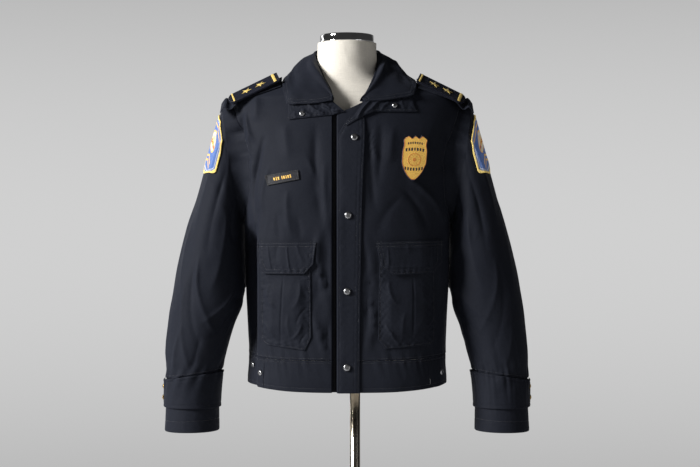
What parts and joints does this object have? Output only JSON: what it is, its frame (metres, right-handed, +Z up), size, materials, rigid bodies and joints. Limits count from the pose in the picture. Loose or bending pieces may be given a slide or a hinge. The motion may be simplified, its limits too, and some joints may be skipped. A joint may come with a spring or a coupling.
{
  "type": "police uniform jacket on a limbless dress form with a stand",
  "caption": "Short police uniform jacket with cargo pockets, snap placket, shoulder boards and cuff straps, worn on a limbless dress form on a round base.",
  "frame": {"origin": "centre of the base's underside, on the axis of the pole", "axes": "+Z up, -Y towards the front of the jacket, +X towards the wearer's left"},
  "size_m": [0.7302, 0.38, 1.6],
  "materials": {
    "shell_nylon": "satin",
    "zip_tape": "matte",
    "gold_thread": "satin",
    "brass": "polished",
    "nickel": "polished",
    "chrome": "polished",
    "form_linen": "matte",
    "base_steel": "brushed"
  },
  "bodies": {
    "root": {"back": "shell_nylon", "bar_left_inner": "gold_thread", "bar_left_outer": "gold_thread", "bar_right_inner": "gold_thread", "bar_right_outer": "gold_thread", "base": "base_steel", "board_left": "shell_nylon", "board_right": "shell_nylon", "chest_badge": "gold_thread", "collar": "shell_nylon", "cuff_button_left_1": "brass", "cuff_button_left_2": "brass", "cuff_button_right_1": "brass", "cuff_button_right_2": "brass", "cuff_left": "shell_nylon", "cuff_right": "shell_nylon", "cuff_strap_left": "shell_nylon", "cuff_strap_right": "shell_nylon", "epaulet_left": "shell_nylon", "epaulet_right": "shell_nylon", "flap_left": "shell_nylon", "flap_right": "shell_nylon", "form_torso": "form_linen", "front_left": "shell_nylon", "front_right": "shell_nylon", "hem_band_back": "shell_nylon", "hem_band_left": "shell_nylon", "hem_band_right": "shell_nylon", "hem_snap_left": "nickel", "hem_snap_right_1": "nickel", "hem_snap_right_2": "nickel", "lapel_left": "shell_nylon", "lapel_right": "shell_nylon", "lapel_snap_left": "nickel", "lapel_snap_right": "nickel", "name_tag": "gold_thread", "neck_cap": "chrome", "placket": "shell_nylon", "placket_snap_1": "nickel", "placket_snap_2": "nickel", "placket_snap_3": "nickel", "placket_snap_4": "nickel", "pocket_left": "shell_nylon", "pocket_right": "shell_nylon", "pole": "nickel", "shoulder_patch_left": "gold_thread", "shoulder_patch_right": "gold_thread", "sleeve_left": "shell_nylon", "sleeve_right": "shell_nylon", "star_left_1": "brass", "star_left_2": "brass", "star_right_1": "brass", "star_right_2": "brass", "zip": "zip_tape"}
  },
  "joints": []
}
